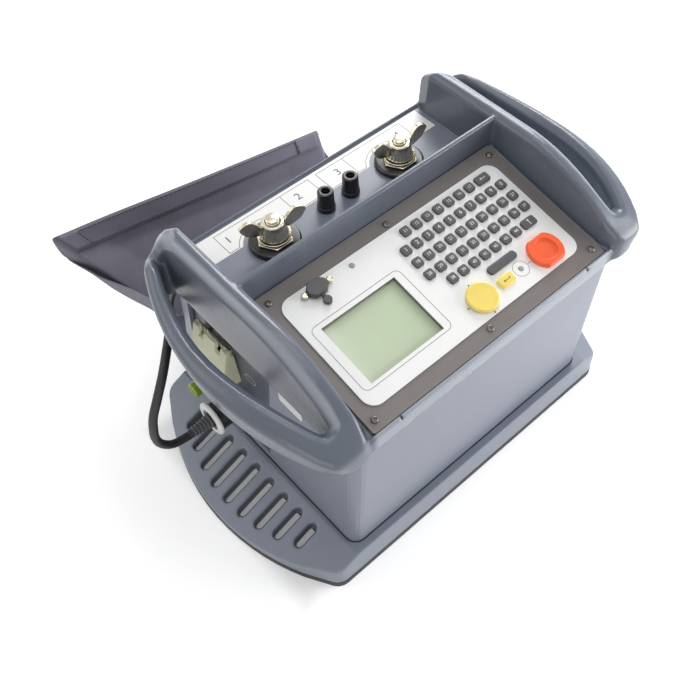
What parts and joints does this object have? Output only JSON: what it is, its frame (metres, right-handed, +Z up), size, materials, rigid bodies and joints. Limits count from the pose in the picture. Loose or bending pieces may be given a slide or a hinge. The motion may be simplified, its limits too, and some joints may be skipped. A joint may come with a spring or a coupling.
{
  "type": "low-resistance test set",
  "caption": "Portable four-terminal resistance test set with end handles, sloping keypad panel, wing-nut terminals, covered mains switch, mains lead and rear lead pouch.",
  "frame": {"origin": "on the floor, under the middle of the base", "axes": "+X to the right of the operator, +Y away from the operator, +Z up"},
  "size_m": [0.4336, 0.3977, 0.2669],
  "materials": {
    "case_grey": "satin moulding",
    "panel_brown": "fine satin paint",
    "overlay_white": "printed film",
    "key_grey": "matt silicone",
    "button_yellow": "satin",
    "button_orange": "satin",
    "display_green": "clear cover over a green-grey display",
    "black_plastic": "satin",
    "black_rubber": "matt",
    "nickel": "warm nickel plate",
    "brass": "machined",
    "copper": "bare copper",
    "steel": "plain",
    "aluminium": "extruded",
    "white_plastic": "satin",
    "cover_clear": "translucent",
    "earth_green": "satin",
    "led_grey": "diffused lens",
    "board_green": "solder resist",
    "pouch_cloth": "woven synthetic"
  },
  "bodies": {
    "case": {"base_tray": "case_grey", "base_foot": "black_rubber", "case_body": "case_grey", "top_frame": "case_grey", "front_panel": "panel_brown", "panel_overlay": "overlay_white", "key_mat": "key_grey", "key_board": "board_green", "lcd_glass": "display_green", "lcd_module": "board_green", "power_led": "led_grey", "test_led": "led_grey", "serial_socket": "steel", "stud_c1": "nickel", "insulator_c1": "black_plastic", "washer_c1": "nickel", "stud_c2": "nickel", "insulator_c2": "black_plastic", "washer_c2": "nickel", "post_p1": "brass", "post_p2": "brass", "side_panel": "case_grey", "switch_body": "black_plastic", "cover_hinge": "steel", "mains_inlet": "black_plastic", "mains_plug": "white_plastic", "cord_boot": "black_rubber", "mains_cord": "black_rubber", "cord_coil": "black_rubber", "supply_plug": "black_rubber", "earth_post": "brass", "lead_pouch": "pouch_cloth", "chassis_plate": "steel", "power_module": "aluminium", "transformer": "copper", "busbar_c1": "copper", "busbar_c2": "copper", "control_board": "board_green"},
    "wing_nut_c1": {"wing_nut_c1": "nickel"},
    "wing_nut_c2": {"wing_nut_c2": "nickel"},
    "post_cap_p1": {"post_cap_p1": "black_plastic"},
    "post_cap_p2": {"post_cap_p2": "black_plastic"},
    "earth_cap": {"earth_cap": "earth_green"},
    "switch_rocker": {"switch_rocker": "black_plastic"},
    "switch_cover": {"switch_cover": "cover_clear"},
    "nav_gimbal": {"nav_gimbal": "black_plastic"},
    "nav_disc": {"nav_disc": "button_yellow"},
    "enter_key": {"enter_key": "button_yellow"},
    "space_bar": {"space_bar": "key_grey"},
    "test_button": {"test_button": "button_orange"},
    "serial_cap": {"serial_cap": "black_rubber"}
  },
  "joints": [
    {"name": "wing_nut_c1_turn", "type": "hinge", "parent": "case", "child": "wing_nut_c1", "pos_m": [-0.068, 0.056, 0.24], "axis": [0, 0, 1], "range_deg": [0, 720]},
    {"name": "wing_nut_c2_turn", "type": "hinge", "parent": "case", "child": "wing_nut_c2", "pos_m": [0.069, 0.056, 0.24], "axis": [0, 0, 1], "range_deg": [0, 720]},
    {"name": "post_cap_p1_turn", "type": "hinge", "parent": "case", "child": "post_cap_p1", "pos_m": [-0.013, 0.057, 0.235], "axis": [0, 0, 1], "range_deg": [0, 720]},
    {"name": "post_cap_p2_turn", "type": "hinge", "parent": "case", "child": "post_cap_p2", "pos_m": [0.014, 0.057, 0.235], "axis": [0, 0, 1], "range_deg": [0, 720]},
    {"name": "earth_cap_turn", "type": "hinge", "parent": "case", "child": "earth_cap", "pos_m": [-0.15, 0.084, 0.066], "axis": [-1, 0, 0], "range_deg": [0, 720]},
    {"name": "switch_rock", "type": "hinge", "parent": "case", "child": "switch_rocker", "pos_m": [-0.1387, 0.05, 0.142], "axis": [0, 0, 1], "range_deg": [-18, 0]},
    {"name": "cover_swing", "type": "hinge", "parent": "case", "child": "switch_cover", "pos_m": [-0.1429, 0.05, 0.167], "axis": [0, 1, 0], "range_deg": [0, 75]},
    {"name": "nav_tilt_fore_aft", "type": "hinge", "parent": "case", "child": "nav_gimbal", "pos_m": [0.0128, -0.0969, 0.21817], "axis": [1, 0, 0], "range_deg": [-3, 3], "stiffness_Nm_per_rad": 0.4},
    {"name": "nav_tilt_sideways", "type": "hinge", "parent": "nav_gimbal", "child": "nav_disc", "pos_m": [0.0128, -0.0969, 0.21817], "axis": [0, 0.9808, 0.1951], "range_deg": [-3, 3], "stiffness_Nm_per_rad": 0.4},
    {"name": "enter_key_press", "type": "slide", "parent": "case", "child": "enter_key", "axis": [0, 0.1951, -0.9808], "range_m": [0, 0.0013], "stiffness_N_per_m": 800, "springref_m": -0.001},
    {"name": "space_bar_press", "type": "slide", "parent": "case", "child": "space_bar", "axis": [0, 0.1951, -0.9808], "range_m": [0, 0.0013], "stiffness_N_per_m": 800, "springref_m": -0.001},
    {"name": "test_button_press", "type": "slide", "parent": "case", "child": "test_button", "axis": [0, 0.1951, -0.9808], "range_m": [0, 0.0013], "stiffness_N_per_m": 800, "springref_m": -0.001},
    {"name": "serial_cap_pull", "type": "slide", "parent": "case", "child": "serial_cap", "axis": [0, -0.1951, 0.9808], "range_m": [0, 0.01]}
  ]
}
